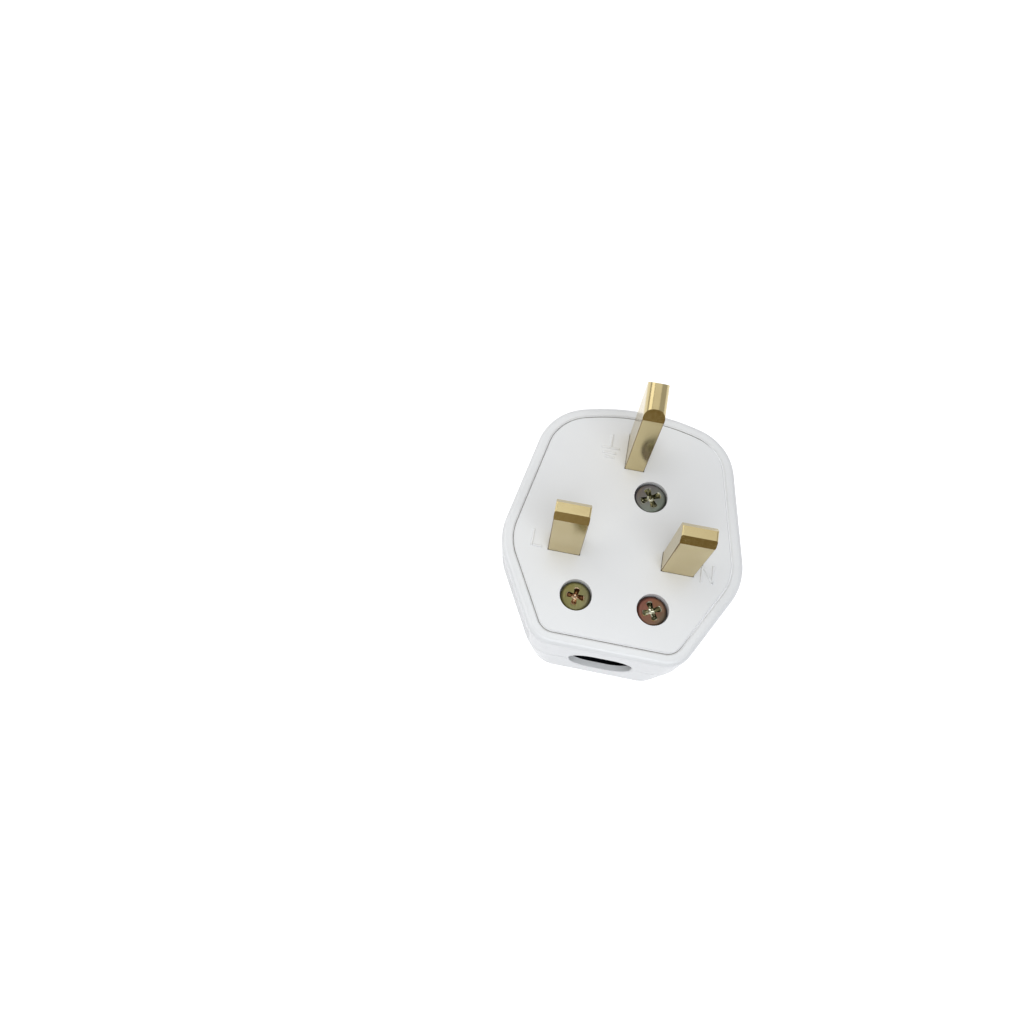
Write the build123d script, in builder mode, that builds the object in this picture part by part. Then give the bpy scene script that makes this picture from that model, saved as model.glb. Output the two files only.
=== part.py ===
from math import cos, radians, sin
import os

from build123d import *

# A rewirable three-pin plug, lying on the flat back of its cover with its pins up.
# Millimetres. +Z runs along the pins and +Y from the cord end to the earth pin.
# The origin is under the middle of the body, on the plane that it lies on.

os.makedirs("parts", exist_ok=True)

# Pins and their pattern
pin_spacing = 22.23        # from the line and neutral row to the earth pin
pin_half_gap = 11.11       # from the middle to the line or neutral pin
power_pin_width = 6.35
power_pin_thickness = 3.975
power_pin_reach = 17.7     # how far a pin stands out of the face
earth_pin_width = 3.975
earth_pin_thickness = 8.05
earth_pin_reach = 22.73
power_tip_height = 1.45    # bevelled length at the tip
power_tip_bevel = 1.06     # how much the long faces lean in there
power_nose_radius = 0.35   # rounding of the tip across the pin
earth_tip_height = 2.2
earth_tip_bevel = 1.3
earth_nose_radius = 1.7
pin_edge = 0.25
pin_play = 0.05            # slot in the face, all round a pin

# Body outline, measured from the line and neutral row
row_to_cord_end = 20.06
row_to_top = 32.3
cord_end_half = 13.9
waist_half = 24.35
waist_below_row = 1.2
shoulder_half = 19.15
row_to_shoulder = 27.8
cord_corner_radius = 5.6
waist_radius = 12.8
shoulder_radius = 11.2

# Shells
body_depth = 22.0
base_depth = 10.5          # the shell that carries the pins
base_lean = 0.15           # how far its walls come in by the parting plane
cover_lean = 3.2           # how far the walls of the cover come in by its back
cover_slide = 3.0          # how far its back sits towards the cord end
back_shoulder_radius = 6.0
wall = 2.2
face_floor = 4.0
back_floor = 2.4
face_edge_radius = 1.1
back_edge_radius = 1.5
parting_bevel = 0.2
groove_inset = 1.95
groove_width = 0.64
groove_floor = 0.12        # width left at the bottom of its sloping sides
groove_depth = 0.3
lip_height = 1.2
lip_thickness = 1.0
fit_gap = 0.15
cut_margin = 1.0           # how far a cutter stands out of what it cuts
least_corner = 0.4

# Grip grooves on both long sides
grip_pitch = 1.8
grip_width = 0.9
grip_depth = 0.35
grip_rows = 4
grip_inner_half = 13.6
grip_below_row = 18.2
grip_above_row = 20.5

# Screws that hold the shells together
screw_shank_radius = 1.5
upper_head_radius = 3.15
lower_head_radius = 2.9
head_play = 0.2            # gap between a head and its recess
screw_head_height = 2.0
screw_head_round = 0.7
upper_screw_drop = 0.4     # head below the face
lower_screw_drop = 0.95
upper_screw_x = 4.1
upper_screw_above_row = 13.0
lower_screw_x = 7.4
lower_screw_below_row = 9.9
screw_hole_radius = 1.7
boss_radius = 3.4
insert_radius = 2.3
insert_length = 5.0
cross_span = 3.7
cross_width = 0.85
cross_depth = 1.3
upper_screw_turn = 29.0    # degrees that each cross recess is turned
left_screw_turn = -5.0
right_screw_turn = 26.0

# Cord hole and cord grip
cord_hole_width = 12.4
cord_hole_height = 10.6
cord_hole_corner = 4.6
cord_hole_wall = 1.5       # wall left round the hole
cord_hole_flare = 0.35     # bevel of its outer edge
cord_pocket_margin = 0.9   # how far the thin wall reaches past the hole
grip_bar_length = 23.0
grip_bar_width = 2.9
grip_bar_thickness = 2.4
grip_bar_rise = 0.6        # how far the middle of the bar bows into the cord
grip_post_width = 4.4
grip_post_reach = 8.0      # from the inner face of the floor to the bar
grip_screw_inset = 1.8     # from the end of the bar
grip_screw_radius = 1.25
grip_screw_length = 8.0
grip_screw_head_radius = 1.9
grip_screw_head_height = 1.7

# Terminals
terminal_width = 7.4
terminal_length = 8.8
terminal_height = 7.4
terminal_hole_radius = 1.8
terminal_screw_radius = 1.5
terminal_screw_head_radius = 2.3
terminal_screw_head_height = 1.6
terminal_screw_slot = 0.7
terminal_screw_offset = 1.9
pocket_rib = 1.2
line_block_width = 5.2
line_block_length = 7.4
strap_thickness = 1.8

# Cartridge fuse and its clips
fuse_length = 25.4
fuse_radius = 3.175
fuse_cap_length = 5.5
fuse_cap_wall = 0.35
fuse_tube_bore = 1.9
clip_thickness = 0.6
clip_length = 4.8
clip_opening = 110.0       # degrees left open for the fuse to snap in

# Places that follow from the sizes above
row_y = (row_to_cord_end - row_to_top) / 2
waist_y = row_y - waist_below_row
shoulder_y = row_y + row_to_shoulder
earth_y = row_y + pin_spacing
cord_end_y = row_y - row_to_cord_end
top_y = row_y + row_to_top
face_z = body_depth
parting_z = body_depth - base_depth
floor_z = face_z - face_floor
block_z = floor_z - terminal_height
wire_z = floor_z - terminal_height / 2
upper_screw = (upper_screw_x, row_y + upper_screw_above_row)
lower_screw_y = row_y - lower_screw_below_row
left_screw = (-lower_screw_x, lower_screw_y)
right_screw = (lower_screw_x, lower_screw_y)
screw_places = [upper_screw, left_screw, right_screw]
screw_drops = [upper_screw_drop, lower_screw_drop, lower_screw_drop]
screw_turns = [upper_screw_turn, left_screw_turn, right_screw_turn]
head_radii = [upper_head_radius, lower_head_radius, lower_head_radius]


def lean_at(z):
    """How far the outside of the wall has come in at height z."""
    if z >= parting_z:
        return base_lean * (face_z - z) / base_depth
    return base_lean + cover_lean * (parting_z - z) / parting_z


def outline_at(z, inset=0.0):
    """Outline of the body at height z, moved in by inset from the outside."""
    share = max(parting_z - z, 0) / parting_z
    shoulder = shoulder_radius + share * (back_shoulder_radius - shoulder_radius)
    with BuildSketch() as outline:
        with BuildLine():
            Line((-cord_end_half, cord_end_y), (cord_end_half, cord_end_y))
            Line((cord_end_half, cord_end_y), (waist_half, waist_y))
            Line((waist_half, waist_y), (shoulder_half, shoulder_y))
            ThreePointArc((shoulder_half, shoulder_y), (0, top_y), (-shoulder_half, shoulder_y))
            Line((-shoulder_half, shoulder_y), (-waist_half, waist_y))
            Line((-waist_half, waist_y), (-cord_end_half, cord_end_y))
        make_face()
        if lean_at(z) + inset != 0:
            offset(amount=-lean_at(z) - inset, kind=Kind.INTERSECTION)
        for side in (0, -1):
            fillet(outline.vertices().group_by(Axis.X)[side], radius=waist_radius - inset)
        fillet(outline.vertices().group_by(Axis.Y)[-1], radius=shoulder - inset)
        fillet(outline.vertices().group_by(Axis.Y)[0], radius=max(cord_corner_radius - inset, least_corner))
    return Location((0, -share * cover_slide)) * outline.sketch


def sloping_block(z_from, z_to, inset_from, inset_to):
    """Solid between two heights that follows the leaning wall, with an inset for each end."""
    with BuildPart() as block:
        with BuildSketch(Plane.XY.offset(z_from)):
            add(outline_at(z_from, inset_from))
        with BuildSketch(Plane.XY.offset(z_to)):
            add(outline_at(z_to, inset_to))
        loft(ruled=True)
    return block.part


def wall_block(z_from, z_to, inset):
    """Solid between two heights that follows the leaning wall, moved in by inset."""
    return sloping_block(z_from, z_to, inset, inset)


def wall_ring(z_from, z_to, outer_inset, inner_inset):
    """Band between two heights and two insets of the leaning wall."""
    with BuildPart() as ring:
        add(wall_block(z_from, z_to, outer_inset))
        add(wall_block(z_from, z_to, inner_inset), mode=Mode.SUBTRACT)
    return ring.part


def grip_cutter(z):
    """Material of one grip groove, on both long sides, from height z upwards."""
    side_depth = grip_below_row + grip_above_row
    side_y = row_y + (grip_above_row - grip_below_row) / 2
    side_width = waist_half - grip_inner_half
    with BuildPart() as cutter:
        add(wall_ring(z, z + grip_width, -cut_margin, grip_depth))
        with BuildSketch(Plane.XY.offset(z)):
            with Locations((-waist_half, side_y), (waist_half, side_y)):
                Rectangle(2 * side_width, side_depth)
        extrude(amount=grip_width, mode=Mode.INTERSECT)
    return cutter.part


def face_groove():
    """Fine groove with sloping sides round the pin face."""
    slope = (groove_width - groove_floor) / 2
    inner_edge = groove_inset + groove_width
    with BuildPart() as groove:
        add(sloping_block(face_z - groove_depth, face_z, groove_inset + slope, groove_inset))
        add(
            sloping_block(face_z - groove_depth, face_z, inner_edge - slope, inner_edge),
            mode=Mode.SUBTRACT,
        )
    return groove.part


def cord_hole():
    """Round-cornered hole for the cord, with a bevelled mouth and a thin wall round it."""
    reach = wall + lip_thickness + cut_margin
    pocket_width = cord_hole_width + 2 * cord_pocket_margin
    pocket_top = parting_z + cord_hole_height / 2 + cord_pocket_margin
    with BuildPart() as hole:
        with BuildSketch(Plane.XZ.offset(-cord_end_y - reach)):
            with Locations((0, parting_z)):
                RectangleRounded(cord_hole_width, cord_hole_height, cord_hole_corner)
        extrude(amount=reach + cut_margin)
        for out, wider in [(-cord_hole_flare, 0), (cord_hole_flare, 2 * cord_hole_flare)]:
            with BuildSketch(Plane.XZ.offset(-cord_end_y + out)):
                with Locations((0, parting_z)):
                    RectangleRounded(
                        cord_hole_width + 2 * wider,
                        cord_hole_height + 2 * wider,
                        cord_hole_corner + wider,
                    )
        loft()
        with BuildSketch(Plane.XZ.offset(-cord_end_y - reach)):
            with Locations((0, back_floor)):
                Rectangle(pocket_width, pocket_top - back_floor, align=(Align.CENTER, Align.MIN))
        extrude(amount=reach - cord_hole_wall)
    return hole.part


# Pin-side shell
grip_rise = grip_pitch - grip_width
post_z = floor_z - grip_post_reach
grip_head_z = post_z - grip_bar_thickness - grip_screw_head_height
head_lean = lean_at(grip_head_z) - cover_slide * (parting_z - grip_head_z) / parting_z
grip_y = cord_end_y + wall + head_lean + fit_gap + grip_screw_head_radius
grip_screw_x = grip_bar_length / 2 - grip_screw_inset
grip_places = [(-grip_screw_x, grip_y), (grip_screw_x, grip_y)]
power_slot = (power_pin_width + 2 * pin_play, power_pin_thickness + 2 * pin_play)
earth_slot = (earth_pin_width + 2 * pin_play, earth_pin_thickness + 2 * pin_play)

with BuildPart() as base:
    add(wall_block(parting_z, face_z, 0))
    fillet(base.faces().sort_by(Axis.Z)[-1].edges(), radius=face_edge_radius)
    chamfer(base.faces().sort_by(Axis.Z)[0].edges(), length=parting_bevel)
    add(wall_block(parting_z, floor_z, wall), mode=Mode.SUBTRACT)
    # Rebate for the lip of the cover
    add(
        wall_block(parting_z, parting_z + lip_height + fit_gap, wall - lip_thickness - fit_gap),
        mode=Mode.SUBTRACT,
    )
    add(face_groove(), mode=Mode.SUBTRACT)
    for row in range(grip_rows):
        add(grip_cutter(parting_z + grip_rise + row * grip_pitch), mode=Mode.SUBTRACT)
    # Hollow pillars round the shell screws
    with BuildSketch(Plane.XY.offset(parting_z)):
        with Locations(*screw_places):
            Circle(boss_radius)
    extrude(amount=base_depth - face_floor)
    # Posts that carry the cord grip
    with BuildSketch(Plane.XY.offset(post_z)):
        with Locations(*grip_places):
            Rectangle(grip_post_width, grip_bar_width)
    extrude(amount=grip_post_reach)
    for place, drop, head_radius in zip(screw_places, screw_drops, head_radii):
        with Locations(Plane.XY.offset(face_z)):
            with Locations(place):
                CounterBoreHole(screw_hole_radius, head_radius + head_play, drop + screw_head_height)
    with BuildSketch(Plane.XY.offset(post_z)):
        with Locations(*grip_places):
            Circle(grip_screw_radius)
    extrude(amount=grip_screw_length, mode=Mode.SUBTRACT)
    # Slots for the pins
    with BuildSketch(Plane.XY.offset(floor_z)):
        with Locations((-pin_half_gap, row_y), (pin_half_gap, row_y)):
            Rectangle(*power_slot)
        with Locations((0, earth_y)):
            Rectangle(*earth_slot)
    extrude(amount=face_floor, mode=Mode.SUBTRACT)
    add(cord_hole(), mode=Mode.SUBTRACT)
    # Ribs that keep the earth and neutral terminals square
    with BuildSketch(Plane.XY.offset(parting_z)):
        with Locations((0, earth_y)):
            with GridLocations(terminal_width + 2 * fit_gap + pocket_rib, 0, 2, 1):
                Rectangle(pocket_rib, terminal_length)
        with Locations((pin_half_gap, row_y)):
            with GridLocations(terminal_width + 2 * fit_gap + pocket_rib, 0, 2, 1):
                Rectangle(pocket_rib, terminal_length)
    extrude(amount=base_depth - face_floor)
base.part.label = "base"
export_step(base.part, "parts/base.step")


# Places of the fuse and of the line terminal beside it
fuse_x = -pin_half_gap
foot_z = floor_z - strap_thickness
fuse_z = foot_z - clip_thickness - fuse_radius
fuse_from_y = row_y - clip_length / 2 - (fuse_cap_length - clip_length) / 2
fuse_to_y = fuse_from_y + fuse_length
clip_width = 2 * (fuse_radius + clip_thickness)
wedge_reach = 3 * fuse_radius
wedge_x = wedge_reach * sin(radians(clip_opening / 2))
wedge_z = wedge_reach * cos(radians(clip_opening / 2))
clip_wedge = [(0, 0), (-wedge_x, -wedge_z), (wedge_x, -wedge_z)]
clip_rows = [fuse_from_y + fuse_cap_length / 2, fuse_to_y - fuse_cap_length / 2]
line_block_x = fuse_x + clip_width / 2 + fit_gap + line_block_width / 2
line_block_y = upper_screw[1] - boss_radius + line_block_length / 2
line_screw = (line_block_x, line_block_y - line_block_length / 2 + terminal_screw_head_radius)
strap_from = (fuse_x - clip_width / 2, line_block_y)
strap_to = (
    -terminal_width / 2 - 2 * fit_gap - pocket_rib,
    clip_rows[1] + clip_length / 2 + clip_thickness,
)


# Back shell
hold_ribs = [
    (0, earth_y + terminal_length / 2 - pocket_rib / 2),
    (pin_half_gap, row_y + terminal_length / 2 - pocket_rib / 2),
    (line_block_x, line_block_y + line_block_length / 2 - pocket_rib / 2),
]

with BuildPart() as cover:
    add(wall_block(0, parting_z, 0))
    fillet(cover.faces().sort_by(Axis.Z)[0].edges(), radius=back_edge_radius)
    chamfer(cover.faces().sort_by(Axis.Z)[-1].edges(), length=parting_bevel)
    add(wall_block(back_floor, parting_z, wall), mode=Mode.SUBTRACT)
    # Lip that stands up into the pin-side shell
    add(wall_ring(parting_z - wall, parting_z + lip_height, wall - lip_thickness, wall))
    for row in range(grip_rows):
        add(grip_cutter(parting_z - (row + 1) * grip_pitch), mode=Mode.SUBTRACT)
    # Bosses for the threaded inserts, under the pillars of the other shell
    with BuildSketch(Plane.XY.offset(back_floor)):
        with Locations(*screw_places):
            Circle(boss_radius)
    extrude(amount=parting_z - back_floor)
    for place in screw_places:
        with Locations(Plane.XY.offset(parting_z)):
            with Locations(place):
                CounterBoreHole(screw_hole_radius, insert_radius, insert_length, parting_z - back_floor)
    # Ribs that bear on the three terminal blocks
    with BuildSketch(Plane.XY.offset(back_floor)):
        with Locations(*hold_ribs):
            Rectangle(line_block_width, pocket_rib)
    extrude(amount=block_z - back_floor)
    # Rib that keeps the fuse in its clips
    with BuildSketch(Plane.XY.offset(back_floor)):
        with Locations((fuse_x, (fuse_from_y + fuse_to_y) / 2)):
            Rectangle(line_block_width, pocket_rib)
    extrude(amount=fuse_z - fuse_radius + fuse_cap_wall - fit_gap - back_floor)
    add(cord_hole(), mode=Mode.SUBTRACT)
    # Room for the cord grip, which a longer bar takes into the corners
    with BuildSketch(Plane.XY.offset(grip_head_z)):
        with Locations(*grip_places):
            Circle(grip_screw_head_radius + pin_play)
    extrude(amount=grip_screw_head_height, mode=Mode.SUBTRACT)
    with BuildSketch(Plane.XY.offset(post_z - grip_bar_thickness)):
        with Locations((0, grip_y)):
            Rectangle(grip_bar_length + 2 * pin_play, grip_bar_width + 2 * pin_play)
    extrude(amount=grip_bar_thickness, mode=Mode.SUBTRACT)
    with BuildSketch(Plane.XY.offset(post_z)):
        with Locations(*grip_places):
            Rectangle(grip_post_width + 2 * pin_play, grip_bar_width + 2 * pin_play)
    extrude(amount=parting_z + lip_height - post_z, mode=Mode.SUBTRACT)
cover.part.label = "cover"
export_step(cover.part, "parts/cover.step")


def pin_blade(x, y, width, thickness, reach, tip_height, bevel, nose_radius):
    """Flat pin from the inner face of the floor to its tip, rounded across and bevelled along."""
    tip_z = face_z + reach
    half = thickness / 2
    with BuildPart() as blade:
        with BuildSketch(Plane.XY.offset(floor_z)):
            with Locations((x, y)):
                RectangleRounded(width, thickness, pin_edge)
        extrude(amount=face_floor + reach)
        with BuildSketch(Plane.XZ.offset(-y)) as across:
            with Locations((x, floor_z)):
                Rectangle(width, face_floor + reach, align=(Align.CENTER, Align.MIN))
            fillet(across.vertices().group_by(Axis.Z)[-1], radius=nose_radius)
        extrude(amount=thickness, both=True, mode=Mode.INTERSECT)
        with BuildSketch(Plane.YZ.offset(x)):
            with BuildLine():
                Polyline(
                    (y - half, floor_z),
                    (y - half, tip_z - tip_height),
                    (y - half + bevel, tip_z),
                    (y + half - bevel, tip_z),
                    (y + half, tip_z - tip_height),
                    (y + half, floor_z),
                    close=True,
                )
            make_face()
        extrude(amount=width, both=True, mode=Mode.INTERSECT)
    return blade.part


def clamp_hole(x, y, z):
    """Hole for a terminal screw, from height z up into the wire hole."""
    with BuildPart() as hole:
        with BuildSketch(Plane.XY.offset(z)):
            with Locations((x, y)):
                Circle(terminal_screw_radius)
        extrude(amount=terminal_height / 2)
    return hole.part


def wire_hole(x, y, length):
    """Hole for a wire, along the plug, through the middle of a terminal block."""
    with BuildPart() as hole:
        with BuildSketch(Plane.XZ.offset(-y - length / 2)):
            with Locations((x, wire_z)):
                Circle(terminal_hole_radius)
        extrude(amount=length)
    return hole.part


# Earth and neutral pins, each in one piece with its terminal block
earth_screw = (0, earth_y - terminal_screw_offset)
neutral_screw = (pin_half_gap, row_y - terminal_screw_offset)

with BuildPart() as earth_pin:
    add(pin_blade(0, earth_y, earth_pin_width, earth_pin_thickness, earth_pin_reach,
                  earth_tip_height, earth_tip_bevel, earth_nose_radius))
    with BuildSketch(Plane.XY.offset(block_z)):
        with Locations((0, earth_y)):
            Rectangle(terminal_width, terminal_length)
    extrude(amount=terminal_height)
    add(wire_hole(0, earth_y, terminal_length), mode=Mode.SUBTRACT)
    add(clamp_hole(*earth_screw, block_z), mode=Mode.SUBTRACT)
earth_pin.part.label = "earth_pin"
export_step(earth_pin.part, "parts/earth_pin.step")

with BuildPart() as neutral_pin:
    add(pin_blade(pin_half_gap, row_y, power_pin_width, power_pin_thickness, power_pin_reach,
                  power_tip_height, power_tip_bevel, power_nose_radius))
    with BuildSketch(Plane.XY.offset(block_z)):
        with Locations((pin_half_gap, row_y)):
            Rectangle(terminal_width, terminal_length)
    extrude(amount=terminal_height)
    add(wire_hole(pin_half_gap, row_y, terminal_length), mode=Mode.SUBTRACT)
    add(clamp_hole(*neutral_screw, block_z), mode=Mode.SUBTRACT)
neutral_pin.part.label = "neutral_pin"
export_step(neutral_pin.part, "parts/neutral_pin.step")


# Line pin, whose foot carries the lower fuse clip
with BuildPart() as line_pin:
    add(pin_blade(-pin_half_gap, row_y, power_pin_width, power_pin_thickness, power_pin_reach,
                  power_tip_height, power_tip_bevel, power_nose_radius))
    with BuildSketch(Plane.XY.offset(foot_z)):
        with Locations((-pin_half_gap, row_y)):
            Rectangle(clip_width, clip_length + 2 * clip_thickness)
    extrude(amount=strap_thickness)
line_pin.part.label = "line_pin"
export_step(line_pin.part, "parts/line_pin.step")


# Line terminal: a strap under the upper clip, and the block for the wire beside the fuse
with BuildPart() as line_terminal:
    with BuildSketch(Plane.XY.offset(foot_z)):
        with Locations(strap_from):
            Rectangle(
                strap_to[0] - strap_from[0],
                strap_to[1] - strap_from[1],
                align=(Align.MIN, Align.MIN),
            )
    extrude(amount=strap_thickness)
    with BuildSketch(Plane.XY.offset(block_z)):
        with Locations((line_block_x, line_block_y)):
            Rectangle(line_block_width, line_block_length)
    extrude(amount=terminal_height)
    add(wire_hole(line_block_x, line_block_y, line_block_length), mode=Mode.SUBTRACT)
    add(clamp_hole(*line_screw, block_z), mode=Mode.SUBTRACT)
line_terminal.part.label = "line_terminal"
export_step(line_terminal.part, "parts/line_terminal.step")


# Spring clips that hold the fuse by its caps
for clip_name, clip_y in zip(["lower_fuse_clip", "upper_fuse_clip"], clip_rows):
    with BuildPart() as fuse_clip:
        with BuildSketch(Plane.XZ.offset(-clip_y - clip_length / 2)):
            with Locations((fuse_x, fuse_z)):
                Circle(fuse_radius + clip_thickness)
                Circle(fuse_radius, mode=Mode.SUBTRACT)
                Polygon(*clip_wedge, align=None, mode=Mode.SUBTRACT)
        extrude(amount=clip_length)
        with BuildSketch(Plane.XY.offset(foot_z - clip_thickness)):
            with Locations((fuse_x, clip_y)):
                Rectangle(fuse_radius, clip_length)
        extrude(amount=clip_thickness)
    fuse_clip.part.label = clip_name
    export_step(fuse_clip.part, f"parts/{clip_name}.step")


# Cartridge fuse: a ceramic tube between two pressed caps
with BuildPart() as fuse_tube:
    with BuildSketch(Plane.XZ.offset(-fuse_to_y + fuse_cap_wall)):
        with Locations((fuse_x, fuse_z)):
            Circle(fuse_radius - fuse_cap_wall)
            Circle(fuse_tube_bore, mode=Mode.SUBTRACT)
    extrude(amount=fuse_length - 2 * fuse_cap_wall)
fuse_tube.part.label = "fuse_tube"
export_step(fuse_tube.part, "parts/fuse_tube.step")

for cap_name, outer_y, inward in [("lower_fuse_cap", fuse_from_y, 1), ("upper_fuse_cap", fuse_to_y, -1)]:
    cap_plane = Plane(origin=(fuse_x, outer_y, fuse_z), z_dir=(0, inward, 0))
    with BuildPart() as fuse_cap:
        with BuildSketch(cap_plane):
            Circle(fuse_radius)
        extrude(amount=fuse_cap_length)
        with BuildSketch(cap_plane.offset(fuse_cap_wall)):
            Circle(fuse_radius - fuse_cap_wall)
        extrude(amount=fuse_cap_length, mode=Mode.SUBTRACT)
    fuse_cap.part.label = cap_name
    export_step(fuse_cap.part, f"parts/{cap_name}.step")


def slotted_screw(x, y, seat_z, shank, length, head, head_height):
    """Cheese-head screw whose head hangs below seat_z, with its shank upwards."""
    with BuildPart() as screw:
        with BuildSketch(Plane.XY.offset(seat_z)):
            with Locations((x, y)):
                Circle(head)
        extrude(amount=-head_height)
        with BuildSketch(Plane.XY.offset(seat_z)):
            with Locations((x, y)):
                Circle(shank)
        extrude(amount=length)
        with BuildSketch(Plane.XY.offset(seat_z - head_height)):
            with Locations((x, y)):
                Rectangle(2 * head, terminal_screw_slot)
        extrude(amount=head_height / 2, mode=Mode.SUBTRACT)
    return screw.part


# Terminal screws, each reaching the wire hole of its block
clamp_length = terminal_height / 2 - terminal_hole_radius + fit_gap
for screw_name, place in [
    ("earth_terminal_screw", earth_screw),
    ("neutral_terminal_screw", neutral_screw),
    ("line_terminal_screw", line_screw),
]:
    terminal_screw = slotted_screw(*place, block_z, terminal_screw_radius, clamp_length,
                                   terminal_screw_head_radius, terminal_screw_head_height)
    terminal_screw.label = screw_name
    export_step(terminal_screw, f"parts/{screw_name}.step")


# Cord grip: a bowed bar across the cord, on two screws
with BuildPart() as cord_grip_bar:
    with BuildSketch(Plane.XZ.offset(-grip_y - grip_bar_width / 2)):
        with BuildLine():
            Line((-grip_bar_length / 2, post_z), (-grip_bar_length / 2, post_z - grip_bar_thickness))
            Line((-grip_bar_length / 2, post_z - grip_bar_thickness),
                 (grip_bar_length / 2, post_z - grip_bar_thickness))
            Line((grip_bar_length / 2, post_z - grip_bar_thickness), (grip_bar_length / 2, post_z))
            Line((grip_bar_length / 2, post_z), (grip_screw_x - grip_post_width / 2, post_z))
            ThreePointArc(
                (grip_screw_x - grip_post_width / 2, post_z),
                (0, post_z + grip_bar_rise),
                (grip_post_width / 2 - grip_screw_x, post_z),
            )
            Line((grip_post_width / 2 - grip_screw_x, post_z), (-grip_bar_length / 2, post_z))
        make_face()
    extrude(amount=grip_bar_width)
    with BuildSketch(Plane.XY.offset(post_z)):
        with Locations(*grip_places):
            Circle(grip_screw_radius + pin_play)
    extrude(amount=-grip_bar_thickness, mode=Mode.SUBTRACT)
cord_grip_bar.part.label = "cord_grip_bar"
export_step(cord_grip_bar.part, "parts/cord_grip_bar.step")

for screw_name, place in zip(["left_grip_screw", "right_grip_screw"], grip_places):
    grip_screw = slotted_screw(*place, post_z - grip_bar_thickness, grip_screw_radius, grip_screw_length,
                               grip_screw_head_radius, grip_screw_head_height)
    grip_screw.label = screw_name
    export_step(grip_screw, f"parts/{screw_name}.step")


# Shell screws with cross recesses, and the inserts that they turn into
shell_names = ["upper", "left", "right"]
for name, place, drop, head_radius, turn in zip(
    shell_names, screw_places, screw_drops, head_radii, screw_turns
):
    head_z = face_z - drop
    with BuildPart() as shell_screw:
        with BuildSketch(Plane.XY.offset(head_z - screw_head_height)):
            with Locations(place):
                Circle(head_radius)
        extrude(amount=screw_head_height)
        fillet(shell_screw.faces().sort_by(Axis.Z)[-1].edges(), radius=screw_head_round)
        with BuildSketch(Plane.XY.offset(parting_z - insert_length)):
            with Locations(place):
                Circle(screw_shank_radius)
        extrude(amount=head_z - screw_head_height - parting_z + insert_length)
        with BuildSketch(Plane.XY.offset(head_z)):
            with Locations(Location((*place, 0), turn)):
                Rectangle(cross_span, cross_width)
                Rectangle(cross_width, cross_span)
        extrude(amount=-cross_depth, mode=Mode.SUBTRACT)
    shell_screw.part.label = f"{name}_shell_screw"
    export_step(shell_screw.part, f"parts/{name}_shell_screw.step")

    with BuildPart() as insert:
        with BuildSketch(Plane.XY.offset(parting_z - insert_length)):
            with Locations(place):
                Circle(insert_radius)
                Circle(screw_shank_radius, mode=Mode.SUBTRACT)
        extrude(amount=insert_length)
    insert.part.label = f"{name}_insert"
    export_step(insert.part, f"parts/{name}_insert.step")
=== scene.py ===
import math

import bmesh
import bpy
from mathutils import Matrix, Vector


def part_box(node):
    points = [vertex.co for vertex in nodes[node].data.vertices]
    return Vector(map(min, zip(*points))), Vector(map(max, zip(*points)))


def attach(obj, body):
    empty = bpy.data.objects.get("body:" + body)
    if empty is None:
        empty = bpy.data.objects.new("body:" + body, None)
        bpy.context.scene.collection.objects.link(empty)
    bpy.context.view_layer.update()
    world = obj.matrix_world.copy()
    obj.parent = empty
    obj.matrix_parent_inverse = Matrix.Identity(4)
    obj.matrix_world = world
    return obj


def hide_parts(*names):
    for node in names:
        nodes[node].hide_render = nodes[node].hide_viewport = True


# A rewirable three-pin plug on its back, pins up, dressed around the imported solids.
# Metres. +Z runs along the pins and +Y from the cord end to the earth pin.

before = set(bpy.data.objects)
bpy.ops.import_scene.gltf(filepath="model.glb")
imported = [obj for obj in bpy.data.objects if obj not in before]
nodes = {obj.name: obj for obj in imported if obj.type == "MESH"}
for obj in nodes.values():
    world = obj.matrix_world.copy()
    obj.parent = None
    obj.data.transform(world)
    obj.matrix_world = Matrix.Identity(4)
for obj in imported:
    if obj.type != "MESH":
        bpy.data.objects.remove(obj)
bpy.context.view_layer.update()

MM = 0.001

# Camera, fitted to the pins, the screws and the outline in the photograph
CAMERA_PLACE = (-0.01386, -0.05673, 0.16226)
CAMERA_ANGLES = (21.608, -0.842, 11.161)   # degrees about X, Y and Z
CAMERA_LENS = 26.733                       # millimetres, for the sensor width below
SENSOR_WIDTH = 36.0
CLIP_START = 0.005
CLIP_END = 10.0

PINS = ("earth_pin", "neutral_pin", "line_pin")
TIP_BAND = 0.1 * MM           # vertices of a pin this close to its top belong to its tip

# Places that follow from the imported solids
cord_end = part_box("base")[0].y
face_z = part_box("base")[1].z


def node_centre(node):
    """Middle of a CAD node's box."""
    low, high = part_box(node)
    return (low + high) / 2


def tip_y(node):
    """Mean Y of the vertices in a pin's tip."""
    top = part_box(node)[1].z
    tips = [vertex.co for vertex in nodes[node].data.vertices if vertex.co.z > top - TIP_BAND]
    return sum(tip.y for tip in tips) / len(tips)


# Helpers for node trees

def add_node(tree, kind, inputs=None, **settings):
    """New node of a kind. Inputs gives values to its sockets, and the settings are its properties."""
    node = tree.nodes.new(kind)
    for socket, value in (inputs or {}).items():
        node.inputs[socket].default_value = value
    for key, value in settings.items():
        setattr(node, key, value)
    return node


def link(tree, out_node, out_name, in_node, in_name):
    tree.links.new(out_node.outputs[out_name], in_node.inputs[in_name])


def new_material(name):
    """New node material, with its tree and its principled shader."""
    material = bpy.data.materials.new(name)
    material.use_nodes = True
    tree = material.node_tree
    return material, tree, tree.nodes["Principled BSDF"]


def bare_material(name):
    """New node material that holds only an output node."""
    material = bpy.data.materials.new(name)
    material.use_nodes = True
    tree = material.node_tree
    tree.nodes.clear()
    return material, tree, add_node(tree, "ShaderNodeOutputMaterial")


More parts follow.
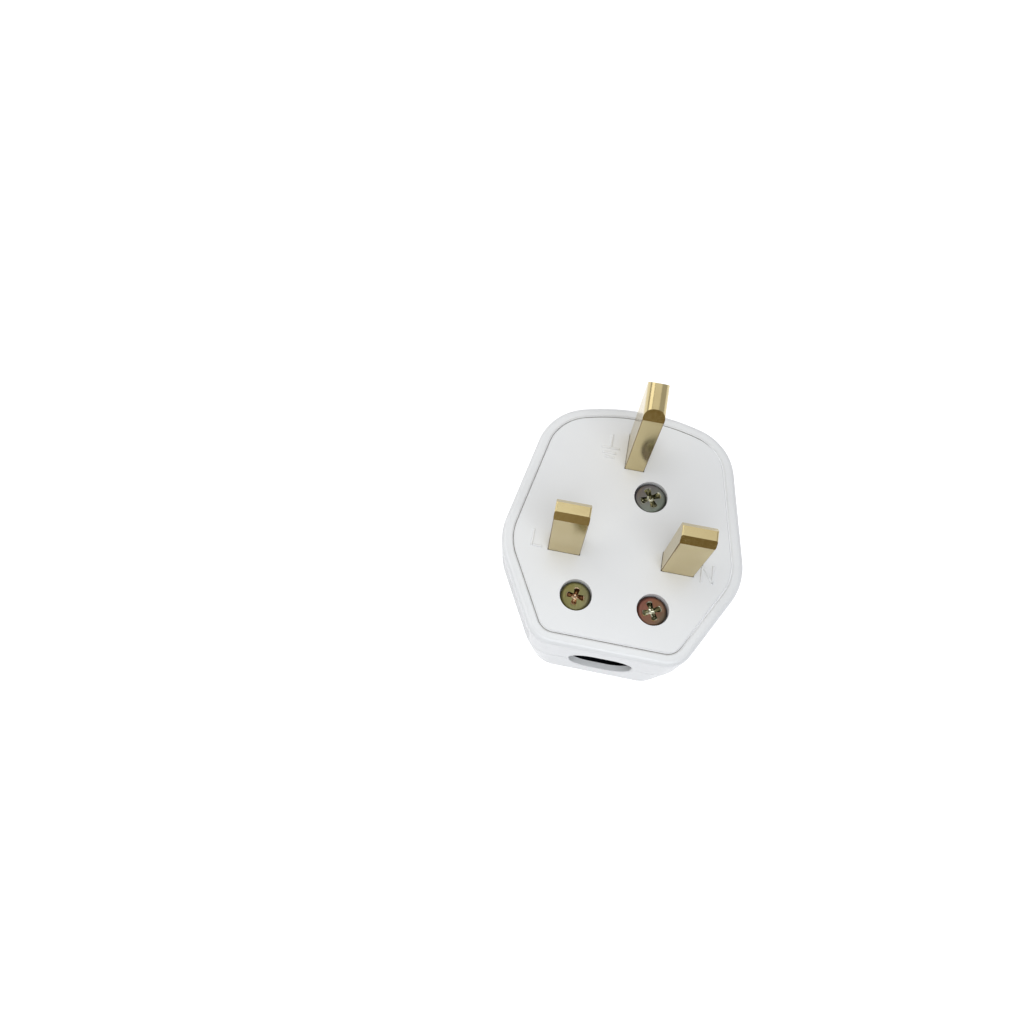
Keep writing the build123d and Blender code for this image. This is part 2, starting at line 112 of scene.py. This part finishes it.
def object_coordinates(tree, scale=(1.0, 1.0, 1.0)):
    """Object coordinates, scaled, as a mapping node."""
    coordinates = add_node(tree, "ShaderNodeTexCoord")
    mapping = add_node(tree, "ShaderNodeMapping", inputs={"Scale": scale})
    link(tree, coordinates, "Object", mapping, "Vector")
    return mapping


def axes_of(tree, source, output):
    """The X, Y and Z of a node's vector, as a node with three outputs."""
    axes = add_node(tree, "ShaderNodeSeparateXYZ")
    link(tree, source, output, axes, "Vector")
    return axes


def noise(tree, mapping, scale, detail=3.0, roughness=0.5):
    node = add_node(tree, "ShaderNodeTexNoise",
                    inputs={"Scale": scale, "Detail": detail, "Roughness": roughness})
    link(tree, mapping, "Vector", node, "Vector")
    return node


def ramp(tree, source, stops, output="Fac"):
    """Colour ramp over a value. Stops are (place, colour)."""
    node = add_node(tree, "ShaderNodeValToRGB")
    elements = node.color_ramp.elements
    while len(elements) < len(stops):
        elements.new(0.5)
    for element, (place, colour) in zip(elements, stops):
        element.position = place
        element.color = (*colour, 1.0)
    link(tree, source, output, node, "Fac")
    return node


def to_range(tree, source, low, high, output="Fac", from_low=0.3, from_high=0.7):
    """Spreads a value over a new range. Unless told otherwise, the value is a noise from 0.3 to 0.7."""
    node = add_node(tree, "ShaderNodeMapRange",
                    inputs={"From Min": from_low, "From Max": from_high, "To Min": low, "To Max": high})
    link(tree, source, output, node, "Value")
    return node


def bump(tree, source, strength, height, before=None):
    """Relief from a noise, on top of an earlier bump where there is one."""
    node = add_node(tree, "ShaderNodeBump", inputs={"Strength": strength, "Distance": height})
    link(tree, source, "Fac", node, "Height")
    if before is not None:
        link(tree, before, "Normal", node, "Normal")
    return node


def maths(tree, operation, *values):
    """Result of a math node. Each value is a number or an output socket."""
    node = add_node(tree, "ShaderNodeMath", operation=operation)
    for socket, value in zip(node.inputs, values):
        if isinstance(value, float):
            socket.default_value = value
        else:
            tree.links.new(value, socket)
    return node.outputs[0]


def blend_towards(tree, share, source, colour):
    """Blend from a node's colour to a plain colour by a share."""
    blend = add_node(tree, "ShaderNodeMixRGB", blend_type="MIX", inputs={"Color2": (*colour, 1.0)})
    tree.links.new(share, blend.inputs["Fac"])
    link(tree, source, "Color", blend, "Color1")
    return blend


# Glossy moulded plastic

WHITE = (0.80, 0.805, 0.81)
WHITE_SHADE = (0.775, 0.78, 0.785)
PLASTIC_IOR = 1.5
TONE_SCALE = 70.0             # noise scales are in waves per metre, roughly
SINK_SCALE = 60.0
SKIN_SCALE = 1500.0
SINK_HEIGHT = 0.3 * MM
SKIN_HEIGHT = 0.004 * MM

# Painted shade on the plastic behind the thin wall at the cord hole. A row is an axis, the place
# where the shade begins and the signed length over which it grows.
SHADE_COLOUR = (0.012, 0.015, 0.022)
SHADE_HALF_WIDTH = 8.4 * MM
SHADE_LENGTH = 11.0 * MM      # from the cord end
SHADE_FLOOR = 1.0 * MM
SHADE_TOP = 3.3 * MM          # below the face
WALL_BACK = 1.45 * MM         # from the cord end
SHADE_EDGES = [
    ("X", -SHADE_HALF_WIDTH, 1.0 * MM),
    ("X", SHADE_HALF_WIDTH, -1.0 * MM),
    ("Y", cord_end + WALL_BACK, 0.45 * MM),
    ("Y", cord_end + SHADE_LENGTH, -3.0 * MM),
    ("Z", SHADE_FLOOR, 1.0 * MM),
    ("Z", face_z - SHADE_TOP, -0.4 * MM),
]


def paint_inside_shade(tree, tint):
    """Painted shade on the plastic just inside the cord hole, by place."""
    axes = axes_of(tree, add_node(tree, "ShaderNodeTexCoord"), "Object")
    masks = []
    for axis, start, length in SHADE_EDGES:
        mask = to_range(tree, axes, 0.0, 1.0, output=axis, from_low=start, from_high=start + length)
        masks.append(mask.outputs[0])
    product = masks[0]
    for mask in masks[1:]:
        product = maths(tree, "MULTIPLY", product, mask)
    return blend_towards(tree, product, tint, SHADE_COLOUR)


def moulded_plastic(name, colour, shade, painted_inside_shade=False):
    """Glossy moulded plastic: faint sink marks, a very fine skin and slight changes of tone."""
    material, tree, shader = new_material(name)
    mapping = object_coordinates(tree)
    tone = noise(tree, mapping, TONE_SCALE, detail=2.0)
    tint = ramp(tree, tone, [(0.3, shade), (0.7, colour)])
    # Painted shade just inside the cord hole
    if painted_inside_shade:
        tint = paint_inside_shade(tree, tint)
    link(tree, tint, "Color", shader, "Base Color")
    skin = noise(tree, mapping, SKIN_SCALE, detail=2.0)
    rough = to_range(tree, skin, low=0.22, high=0.27)
    link(tree, rough, "Result", shader, "Roughness")
    sink = noise(tree, mapping, SINK_SCALE, detail=1.0)
    broad = bump(tree, sink, strength=0.2, height=SINK_HEIGHT)
    fine = bump(tree, skin, strength=0.02, height=SKIN_HEIGHT, before=broad)
    link(tree, fine, "Normal", shader, "Normal")
    shader.inputs["IOR"].default_value = PLASTIC_IOR
    return material


# Plastic in the fine groove

GROOVE_PAINTED_SHADE = (0.10, 0.085, 0.07)
GROOVE_PAINTED_HIGHLIGHT = (0.93, 0.93, 0.94)
GROOVE_DUST = (0.5, 0.48, 0.46)
HIGHLIGHT_START = 12.5 * MM       # the groove turns from painted shade to painted highlight between these places on X
HIGHLIGHT_END = 16.0 * MM
DUST_SCALE = 420.0
DUST_SHARE = 0.25
GROOVE_ROUGHNESS = 0.4


def groove_plastic(name):
    """Painted shade darkens the groove on three sides and a painted highlight lightens the right side. Thin
    dust lies on all of it.
    """
    material, tree, shader = new_material(name)
    axes = axes_of(tree, add_node(tree, "ShaderNodeTexCoord"), "Object")
    side = to_range(tree, axes, 0.0, 1.0, output="X", from_low=HIGHLIGHT_START, from_high=HIGHLIGHT_END)
    painted_light = ramp(tree, side, [(0.0, GROOVE_PAINTED_SHADE), (1.0, GROOVE_PAINTED_HIGHLIGHT)], output="Result")
    dust = noise(tree, object_coordinates(tree), DUST_SCALE)
    share = to_range(tree, dust, low=0.0, high=DUST_SHARE)
    blend = blend_towards(tree, share.outputs[0], painted_light, GROOVE_DUST)
    link(tree, blend, "Color", shader, "Base Color")
    shader.inputs["Roughness"].default_value = GROOVE_ROUGHNESS
    return material


# Metals

GRAIN_ALONG_Z = (1.0, 1.0, 0.05)
GRAIN_ALONG_X = (0.05, 1.0, 1.0)
NO_GRAIN = (1.0, 1.0, 1.0)
GRAIN_SCALE = 1500.0
GRAIN_HEIGHT = 0.01 * MM
STAIN_SCALE = 130.0
FILM_HALF_WIDTH = 3.2 * MM    # the film's colours run over twice this width
DRIFT_SCALE = 300.0
DRIFT_SHARE = 0.12
SCRATCH_SCALE = 2600.0
SCRATCH_STRETCH = (1.0, 0.2, 1.0)


def brushed_metal(name, bright, dull, rough, along=GRAIN_ALONG_Z, grain=GRAIN_SCALE,
                  relief=0.05, stain_and_glint_scale=STAIN_SCALE):
    """Metal with a fine grain along one direction and soft stains. In a cross recess the stains are painted
    glints and painted shade. Rough is its range of roughness.
    """
    material, tree, shader = new_material(name)
    stain_and_glint = noise(tree, object_coordinates(tree), stain_and_glint_scale)
    tint = ramp(tree, stain_and_glint, [(0.35, dull), (0.65, bright)])
    link(tree, tint, "Color", shader, "Base Color")
    lines = noise(tree, object_coordinates(tree, along), grain, roughness=0.6)
    polish = to_range(tree, lines, *rough)
    link(tree, polish, "Result", shader, "Roughness")
    fine = bump(tree, lines, relief, GRAIN_HEIGHT)
    link(tree, fine, "Normal", shader, "Normal")
    shader.inputs["Metallic"].default_value = 1.0
    return material


def passivated_steel(name, centre, turn, stops):
    """Passivated screw head: oily colours that drift from one side of its centre to the other."""
    material, tree, shader = new_material(name)
    place = add_node(tree, "ShaderNodeTexCoord")
    centred = add_node(tree, "ShaderNodeMapping", inputs={"Location": (-centre.x, -centre.y, 0.0)})
    link(tree, place, "Object", centred, "Vector")
    turned = add_node(tree, "ShaderNodeMapping", inputs={"Rotation": (0.0, 0.0, -math.radians(turn))})
    link(tree, centred, "Vector", turned, "Vector")
    across = to_range(tree, axes_of(tree, turned, "Vector"), 0.0, 1.0, output="X",
                      from_low=-FILM_HALF_WIDTH, from_high=FILM_HALF_WIDTH)
    drift = noise(tree, turned, DRIFT_SCALE, detail=2.0)
    waves = to_range(tree, drift, low=-DRIFT_SHARE, high=DRIFT_SHARE)
    total = maths(tree, "ADD", across.outputs[0], waves.outputs[0])
    film = ramp(tree, total.node, stops, output="Value")
    link(tree, film, "Color", shader, "Base Color")
    scratch = noise(tree, object_coordinates(tree, SCRATCH_STRETCH), SCRATCH_SCALE)
    rough = to_range(tree, scratch, low=0.3, high=0.42)
    link(tree, rough, "Result", shader, "Roughness")
    fine = bump(tree, scratch, strength=0.06, height=GRAIN_HEIGHT)
    link(tree, fine, "Normal", shader, "Normal")
    shader.inputs["Metallic"].default_value = 1.0
    return material


# Materials of the CAD nodes

plastic = moulded_plastic("gloss_white_plastic", WHITE, WHITE_SHADE, painted_inside_shade=True)
mark_plastic = moulded_plastic("mark_white_plastic", WHITE, WHITE_SHADE)
grip_plastic = moulded_plastic("black_grip_plastic", (0.03, 0.032, 0.038), (0.022, 0.024, 0.03))
brass = brushed_metal("pin_brass", (0.60, 0.50, 0.272), (0.56, 0.457, 0.235), rough=(0.14, 0.22))
inner_brass = brushed_metal("terminal_brass", (0.66, 0.54, 0.29), (0.56, 0.44, 0.22), rough=(0.25, 0.4))
steel = brushed_metal("zinc_steel", (0.55, 0.55, 0.54), (0.42, 0.42, 0.41), rough=(0.3, 0.45))
cap_metal = brushed_metal("fuse_cap_metal", (0.72, 0.72, 0.72), (0.6, 0.6, 0.59), rough=(0.15, 0.3),
                          along=GRAIN_ALONG_X)
ceramic = moulded_plastic("fuse_ceramic", (0.74, 0.72, 0.66), (0.68, 0.66, 0.6))


def dress(material, *names):
    """Gives a material to CAD nodes."""
    for name in names:
        slots = nodes[name].data.materials
        slots.clear()
        slots.append(material)


dress(plastic, "base", "cover")
dress(grip_plastic, "cord_grip_bar")
dress(brass, *PINS)
dress(inner_brass, "line_terminal", "lower_fuse_clip", "upper_fuse_clip",
      "upper_insert", "left_insert", "right_insert")
dress(steel, "earth_terminal_screw", "neutral_terminal_screw", "line_terminal_screw",
      "left_grip_screw", "right_grip_screw")
dress(cap_metal, "lower_fuse_cap", "upper_fuse_cap")
dress(ceramic, "fuse_tube")


def bevel(piece, width, angle):
    """Rounds the edges of a piece that are sharper than an angle in degrees."""
    soft = piece.modifiers.new("edges", "BEVEL")
    soft.width = width
    soft.segments = 2
    soft.limit_method = "ANGLE"
    soft.angle_limit = math.radians(angle)
    return soft


# The narrow floor of the groove takes the plastic with painted shade, a painted highlight and dust, and its
# slopes keep the white plastic

GROOVE_DEPTH = 0.3 * MM
FLOOR_BAND = 0.002 * MM       # how close to the groove's floor a vertex of it lies
base_mesh = nodes["base"].data
base_mesh.materials.append(groove_plastic("groove_shade_highlight_dust_plastic"))
for polygon in base_mesh.polygons:
    heights = [base_mesh.vertices[index].co.z for index in polygon.vertices]
    if all(abs(z - face_z + GROOVE_DEPTH) < FLOOR_BAND for z in heights):
        polygon.material_index = 1

# Darker brown brass along the edges of the pins

EDGE_WIDTH = 0.13 * MM
EDGE_ANGLE = 25.0
EDGE_SHARE = 0.45             # least X and least Y in the normals of an upright edge's middle facets
edge_brass = brushed_metal("dark_edge_brass", (0.24, 0.15, 0.07), (0.13, 0.08, 0.04), rough=(0.3, 0.4))
for pin in PINS:
    nodes[pin].data.materials.append(edge_brass)
    dark_edges = bevel(nodes[pin], EDGE_WIDTH, EDGE_ANGLE)
    dark_edges.material = 1
    for polygon in nodes[pin].data.polygons:
        if min(abs(polygon.normal.x), abs(polygon.normal.y)) > EDGE_SHARE:
            polygon.material_index = 1


# Shell screws with a flared cross recess

HEAD_DOME = 0.06 * MM         # how far a head falls from its middle to its rounded rim
HEAD_ROUND = 0.55 * MM        # radius of the rounded rim
HEAD_ROUND_STEPS = 6
HEAD_HEIGHT = 2.0 * MM
HEAD_STEPS = 72
HEAD_BEVEL = 0.05 * MM
HEAD_BEVEL_ANGLE = 32.0
SHANK_RADIUS = 1.5 * MM

CROSS_REACH = 2.1 * MM        # from the middle to the end of a wing, on the head
CROSS_END = 0.66 * MM         # half width of a wing at its end
CROSS_WAIST = 0.44 * MM       # half width of a wing near the middle
CROSS_ROOT = 1.35             # where a wing starts, in half widths of the waist
CROSS_POINT = 0.35 * MM       # how far the bottom falls to its middle
CROSS_LEVELS = [              # size of the cross and height over the head, from its mouth down
    (1.22, 0.4 * MM),
    (1.05, 0.0),
    (0.93, -0.1 * MM),
    (0.45, -1.7 * MM),
]
WING_CORNERS = [              # end of a wing, in its half widths: back from its reach, and sideways
    (0.5, -1.0),
    (0.12, -0.6),
    (0.0, 0.0),
    (0.12, 0.6),
    (0.5, 1.0),
]


def revolve_profile(mesh, profile, centre):
    """Closed solid turned round a vertical axis. The profile is (radius, height) from top to bottom."""
    rings = []
    for radius, height in profile:
        if radius == 0:
            rings.append([mesh.verts.new((centre.x, centre.y, height))])
            continue
        ring = []
        for step in range(HEAD_STEPS):
            angle = 2 * math.pi * step / HEAD_STEPS
            ring.append(mesh.verts.new((centre.x + radius * math.cos(angle),
                                        centre.y + radius * math.sin(angle), height)))
        rings.append(ring)
    for upper, lower in zip(rings, rings[1:]):
        for step in range(HEAD_STEPS):
            after = (step + 1) % HEAD_STEPS
            if len(upper) == 1:
                mesh.faces.new((upper[0], lower[step], lower[after]))
            elif len(lower) == 1:
                mesh.faces.new((upper[step], lower[0], upper[after]))
            else:
                mesh.faces.new((upper[step], lower[step], lower[after], upper[after]))


def object_from(name, fill, *materials):
    """New object whose mesh a function fills."""
    mesh = bmesh.new()
    fill(mesh)
    bmesh.ops.recalc_face_normals(mesh, faces=mesh.faces)
    data = bpy.data.meshes.new(name)
    mesh.to_mesh(data)
    mesh.free()
    piece = bpy.data.objects.new(name, data)
    bpy.context.scene.collection.objects.link(piece)
    for material in materials:
        data.materials.append(material)
    return piece


def apply_modifiers(piece):
    """Keeps the result of an object's modifiers as its mesh."""
    shaped = piece.evaluated_get(bpy.context.evaluated_depsgraph_get())
    data = bpy.data.meshes.new_from_object(shaped)
    piece.modifiers.clear()
    piece.data = data


def screw_solid(mesh, centre, top, low, head_radius):
    """Domed head with a rounded rim on a plain shank."""
    flat_radius = head_radius - HEAD_ROUND
    profile = [(0.0, top), (flat_radius, top - HEAD_DOME)]
    for step in range(1, HEAD_ROUND_STEPS + 1):
        angle = math.radians(90 / HEAD_ROUND_STEPS * step)
        profile.append((flat_radius + HEAD_ROUND * math.sin(angle),
                        top - HEAD_DOME - HEAD_ROUND * (1 - math.cos(angle))))
    profile += [(head_radius, top - HEAD_HEIGHT), (SHANK_RADIUS, top - HEAD_HEIGHT),
                (SHANK_RADIUS, low), (0.0, low)]
    revolve_profile(mesh, profile, centre)


def turn_point(x, y, angle):
    """A point turned round the origin by an angle in radians."""
    return (x * math.cos(angle) - y * math.sin(angle), x * math.sin(angle) + y * math.cos(angle))


def cross_outline(scale):
    """Corner points of the cross, once round. Each wing widens towards a rounded end."""
    reach = CROSS_REACH * scale
    end = CROSS_END * scale
    waist = CROSS_WAIST * (0.5 + 0.5 * scale)
    wing = [(waist * CROSS_ROOT, -waist)]
    wing += [(reach - back * end, side * end) for back, side in WING_CORNERS]
    wing += [(waist * CROSS_ROOT, waist)]
    return [turn_point(x, y, math.pi / 2 * quarter) for quarter in range(4) for x, y in wing]


def cross_solid(mesh, centre, top, turn, size):
    """Tapered cross that is cut from a head, with a flared mouth."""
    rings = []
    for scale, height in CROSS_LEVELS:
        ring = []
        for point in cross_outline(scale * size):
            x, y = turn_point(*point, math.radians(turn))
            ring.append(mesh.verts.new((centre.x + x, centre.y + y, top + height)))
        rings.append(ring)
    count = len(rings[0])
    for upper, lower in zip(rings, rings[1:]):
        for step in range(count):
            after = (step + 1) % count
            mesh.faces.new((upper[step], upper[after], lower[after], lower[step]))
    mesh.faces.new(rings[0])
    floor_height = CROSS_LEVELS[-1][1]
    point = mesh.verts.new((centre.x, centre.y, top + floor_height - CROSS_POINT))
    for step in range(count):
        after = (step + 1) % count
        mesh.faces.new((rings[-1][step], rings[-1][after], point))
    for face in mesh.faces:
        face.material_index = 1


def shell_screw(node, turn, size, film, recess):
    """Screw in the place of a CAD screw, with the same head and shank."""
    low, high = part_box(node)
    centre = node_centre(node)
    head_radius = (high.x - low.x) / 2
    piece = object_from(node + "_detailed",
                        lambda mesh: screw_solid(mesh, centre, high.z, low.z, head_radius),
                        film, recess)
    cutter = object_from(node + "_cutter", lambda mesh: cross_solid(mesh, centre, high.z, turn, size),
                         film, recess)
    cut = piece.modifiers.new("cross", "BOOLEAN")
    cut.operation = "DIFFERENCE"
    cut.solver = "EXACT"
    cut.object = cutter
    apply_modifiers(piece)
    bpy.data.objects.remove(cutter)
    for polygon in piece.data.polygons:
        polygon.use_smooth = True
    soft = bevel(piece, HEAD_BEVEL, HEAD_BEVEL_ANGLE)
    soft.harden_normals = True
    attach(piece, "root")
    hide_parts(node)


RECESS_GRAIN_SCALE = 900.0
RECESS_GLINT_SCALE = 800.0


def recess_glint_and_shade_metal(name, bright, dull, rough, relief):
    """Metal inside a cross recess, with painted glints on painted shade."""
    return brushed_metal(name, bright, dull, rough, along=NO_GRAIN, grain=RECESS_GRAIN_SCALE,
                         relief=relief, stain_and_glint_scale=RECESS_GLINT_SCALE)


# Recess metals: the bright colour is painted glints and the dark one is painted shade
brown_recess = recess_glint_and_shade_metal("brown_recess_metal", (0.66, 0.47, 0.31), (0.055, 0.035, 0.024),
                            rough=(0.12, 0.2), relief=0.4)
olive_recess = recess_glint_and_shade_metal("olive_recess_metal", (0.74, 0.72, 0.56), (0.05, 0.05, 0.03),
                            rough=(0.1, 0.18), relief=0.5)
upper_film = passivated_steel("upper_screw_film", node_centre("upper_shell_screw"), turn=-35.0, stops=[
    (0.15, (0.145, 0.13, 0.13)),
    (0.45, (0.163, 0.16, 0.145)),
    (0.8, (0.175, 0.195, 0.16)),
])
left_film = passivated_steel("left_screw_film", node_centre("left_shell_screw"), turn=0.0, stops=[
    (0.2, (0.205, 0.187, 0.075)),
    (0.6, (0.205, 0.193, 0.085)),
    (0.9, (0.2, 0.183, 0.1)),
])
right_film = passivated_steel("right_screw_film", node_centre("right_shell_screw"), turn=-20.0, stops=[
    (0.15, (0.2, 0.085, 0.065)),
    (0.55, (0.185, 0.095, 0.063)),
    (0.9, (0.165, 0.125, 0.085)),
])
shell_screw("upper_shell_screw", turn=29.0, size=1.06, film=upper_film, recess=olive_recess)
shell_screw("left_shell_screw", turn=-5.0, size=0.84, film=left_film, recess=brown_recess)
shell_screw("right_shell_screw", turn=26.0, size=0.92, film=right_film, recess=olive_recess)


# Moulded marks on the face: the earth sign and the letters of the two other pins

MARK_STROKE = 0.46 * MM
MARK_HEIGHT = 0.2 * MM
MARK_BEVEL = 0.05 * MM
MARK_BEVEL_ANGLE = 30.0
MARK_LEVELS = [               # height over the face, and how far the sides have drawn in there
    (-0.03 * MM, 0.0),
    (0.55 * MARK_HEIGHT, 0.02 * MM),
    (MARK_HEIGHT, 0.09 * MM),
]


def stroke(mesh, start, end):
    """Raised bar with sloping sides along a line on the face."""
    start = Vector((*start, 0.0)) * MM
    end = Vector((*end, 0.0)) * MM
    along = (end - start).normalized()
    side = Vector((-along.y, along.x, 0.0))
    rings = []
    for height, inset in MARK_LEVELS:
        half = MARK_STROKE / 2 - inset
        corners = [start - along * half - side * half, end + along * half - side * half,
                   end + along * half + side * half, start - along * half + side * half]
        rings.append([mesh.verts.new((corner.x, corner.y, face_z + height)) for corner in corners])
    for lower, upper in zip(rings, rings[1:]):
        for step in range(4):
            after = (step + 1) % 4
            mesh.faces.new((lower[step], lower[after], upper[after], upper[step]))
    mesh.faces.new(rings[-1])
    mesh.faces.new(rings[0][::-1])


def face_mark(name, strokes):
    """One moulded mark, made of bars whose ends are in millimetres on the face."""
    def fill(mesh):
        for start, end in strokes:
            stroke(mesh, start, end)
    piece = object_from(name, fill, mark_plastic)
    bevel(piece, MARK_BEVEL, MARK_BEVEL_ANGLE)
    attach(piece, "root")


# Places of the marks, in millimetres. Their Y follows from the row of the two lower pins.
row_y = tip_y("line_pin") / MM

EARTH_STEM_X = -5.45
earth_top = row_y + 25.2
earth_stem_end = row_y + 22.4
EARTH_BARS = [                # left end, right end and distance from the row
    (-7.1, -3.8, 22.3),
    (-6.7, -4.4, 21.15),
    (-6.2, -4.7, 20.2),
]
earth_strokes = [((EARTH_STEM_X, earth_top), (EARTH_STEM_X, earth_stem_end))]
for left, right, distance in EARTH_BARS:
    earth_strokes.append(((left, row_y + distance), (right, row_y + distance)))
face_mark("earth_mark", earth_strokes)

N_LEFT = 15.75
N_RIGHT = 17.9
n_foot = row_y - 2.6
n_top = row_y + 0.7
face_mark("neutral_mark", [((N_LEFT, n_foot), (N_LEFT, n_top)),
                           ((N_LEFT, n_top), (N_RIGHT, n_foot)),
                           ((N_RIGHT, n_foot), (N_RIGHT, n_top))])

L_LEFT = -17.6
L_RIGHT = -15.7
L_BAR_START = -17.15          # puts the end of the foot at the side of the stem
l_foot = row_y - 1.6
l_top = row_y + 1.5
face_mark("line_mark", [((L_LEFT, l_top), (L_LEFT, l_foot)),
                        ((L_BAR_START, l_foot), (L_RIGHT, l_foot))])


# Stage

FLOOR_COLOUR = (0.66, 0.66, 0.67)
FLOOR_LIFT = 0.65             # white glow that the camera and gloss see on top of the lit floor
FLOOR_SIZE = 4.0
FLOOR_DROP = 0.02 * MM
PURE_WHITE = (1.0, 1.0, 1.0)


def stage_plane(name, size, place, angles=(0.0, 0.0, 0.0)):
    """Flat rectangle that belongs to the studio."""
    mesh = bpy.data.meshes.new(name)
    half_x = size[0] / 2
    half_y = size[1] / 2
    corners = [(-half_x, -half_y, 0), (half_x, -half_y, 0), (half_x, half_y, 0), (-half_x, half_y, 0)]
    mesh.from_pydata(corners, [], [(0, 1, 2, 3)])
    plane = bpy.data.objects.new(name, mesh)
    plane.location = place
    plane.rotation_euler = angles
    bpy.context.scene.collection.objects.link(plane)
    return plane


def floor_material():
    """Near-white floor that keeps the shadow and fills up to white for the camera and for gloss."""
    material, tree, output = bare_material("studio_floor")
    matt = add_node(tree, "ShaderNodeBsdfDiffuse", inputs={"Color": (*FLOOR_COLOUR, 1.0)})
    lift = add_node(tree, "ShaderNodeEmission", inputs={"Color": (*PURE_WHITE, 1.0)})
    rays = add_node(tree, "ShaderNodeLightPath").outputs
    seen = maths(tree, "MAXIMUM", rays["Is Camera Ray"], rays["Is Glossy Ray"])
    seen = maths(tree, "MAXIMUM", seen, rays["Is Transmission Ray"])
    level = maths(tree, "MULTIPLY", seen, FLOOR_LIFT)
    both = add_node(tree, "ShaderNodeAddShader")
    tree.links.new(level, lift.inputs["Strength"])
    tree.links.new(matt.outputs[0], both.inputs[0])
    tree.links.new(lift.outputs[0], both.inputs[1])
    tree.links.new(both.outputs[0], output.inputs["Surface"])
    return material


floor = stage_plane("studio_floor", (FLOOR_SIZE, FLOOR_SIZE), (0.0, 0.0, -FLOOR_DROP))
floor.data.materials.append(floor_material())

# Brown card in front of the plug. It shows only in reflections and colours the pins' front bevels.

CARD_SIZE = (0.7, 0.13)
CARD_PLACE = (0.0, -0.3, 0.064)
CARD_LEFT_SHADE = (0.40, 0.33, 0.21)
CARD_RIGHT_SHADE = (0.22, 0.165, 0.07)
CARD_FADE_START = -0.03       # places on the card's X between which one shade turns into the other
CARD_FADE_END = 0.04


def card_material(name):
    """Low glow that changes from the left shade to the right one."""
    material, tree, output = bare_material(name)
    glow = add_node(tree, "ShaderNodeEmission")
    axes = axes_of(tree, add_node(tree, "ShaderNodeTexCoord"), "Object")
    share = to_range(tree, axes, 0.0, 1.0, output="X", from_low=CARD_FADE_START, from_high=CARD_FADE_END)
    shades = ramp(tree, share, [(0.0, CARD_LEFT_SHADE), (1.0, CARD_RIGHT_SHADE)], output="Result")
    link(tree, shades, "Color", glow, "Color")
    tree.links.new(glow.outputs[0], output.inputs["Surface"])
    return material


card = stage_plane("front_brown_card", CARD_SIZE, CARD_PLACE, (math.radians(90), 0.0, 0.0))
card.data.materials.append(card_material("front_brown_card"))
card.visible_camera = False
card.visible_diffuse = False
card.visible_shadow = False

# Lamps

PLUG_MIDDLE = (0.0, 0.0, 0.02)


def area_light(name, power, size, place, colour):
    """Soft rectangular lamp that looks at the plug."""
    lamp = bpy.data.lights.new(name, "AREA")
    lamp.shape = "RECTANGLE"
    lamp.size, lamp.size_y = size
    lamp.energy = power
    lamp.color = colour
    holder = bpy.data.objects.new(name, lamp)
    holder.location = place
    holder.rotation_euler = (Vector(PLUG_MIDDLE) - Vector(place)).to_track_quat("-Z", "Y").to_euler()
    bpy.context.scene.collection.objects.link(holder)


area_light("left_window", power=1.05, size=(0.8, 0.35), place=(-0.45, 0.14, 0.36),
           colour=(1.0, 0.99, 0.97))
area_light("overhead_panel", power=0.22, size=(0.4, 0.4), place=(-0.02, 0.29, 0.56),
           colour=(1.0, 0.995, 0.98))
area_light("front_fill", power=0.55, size=(0.35, 0.2), place=(0.05, -0.2, 0.3),
           colour=(0.92, 0.96, 1.0))
area_light("gloss_panel", power=0.075, size=(0.16, 0.1), place=(0.03, 0.07, 0.47),
           colour=(0.93, 0.97, 1.0))

# World

WORLD_COLOUR = (0.985, 0.99, 1.0)
WORLD_STRENGTH = 0.49
GLOSS_SHARE = 0.15            # how far metal and gloss see the white background in place of the soft light


def studio_world():
    """Soft light all round, with a white background for the camera."""
    world = bpy.data.worlds.new("studio_world")
    world.use_nodes = True
    tree = world.node_tree
    tree.nodes.clear()
    output = add_node(tree, "ShaderNodeOutputWorld")
    soft = add_node(tree, "ShaderNodeBackground",
                    inputs={"Color": (*WORLD_COLOUR, 1.0), "Strength": WORLD_STRENGTH})
    white = add_node(tree, "ShaderNodeBackground",
                     inputs={"Color": (*PURE_WHITE, 1.0), "Strength": 1.0})
    rays = add_node(tree, "ShaderNodeLightPath").outputs
    direct = maths(tree, "MAXIMUM", rays["Is Camera Ray"], rays["Is Transmission Ray"])
    share = maths(tree, "MULTIPLY_ADD", rays["Is Glossy Ray"], GLOSS_SHARE, direct)
    mix = add_node(tree, "ShaderNodeMixShader")
    tree.links.new(share, mix.inputs["Fac"])
    tree.links.new(soft.outputs[0], mix.inputs[1])
    tree.links.new(white.outputs[0], mix.inputs[2])
    tree.links.new(mix.outputs[0], output.inputs["Surface"])
    return world


bpy.context.scene.world = studio_world()

# Camera and view

camera_data = bpy.data.cameras.new("camera")
camera_data.lens = CAMERA_LENS
camera_data.sensor_width = SENSOR_WIDTH
camera_data.clip_start = CLIP_START
camera_data.clip_end = CLIP_END
camera = bpy.data.objects.new("camera", camera_data)
camera.location = CAMERA_PLACE
camera.rotation_euler = [math.radians(angle) for angle in CAMERA_ANGLES]
bpy.context.scene.collection.objects.link(camera)
bpy.context.scene.camera = camera
bpy.context.scene.view_settings.view_transform = "Standard"
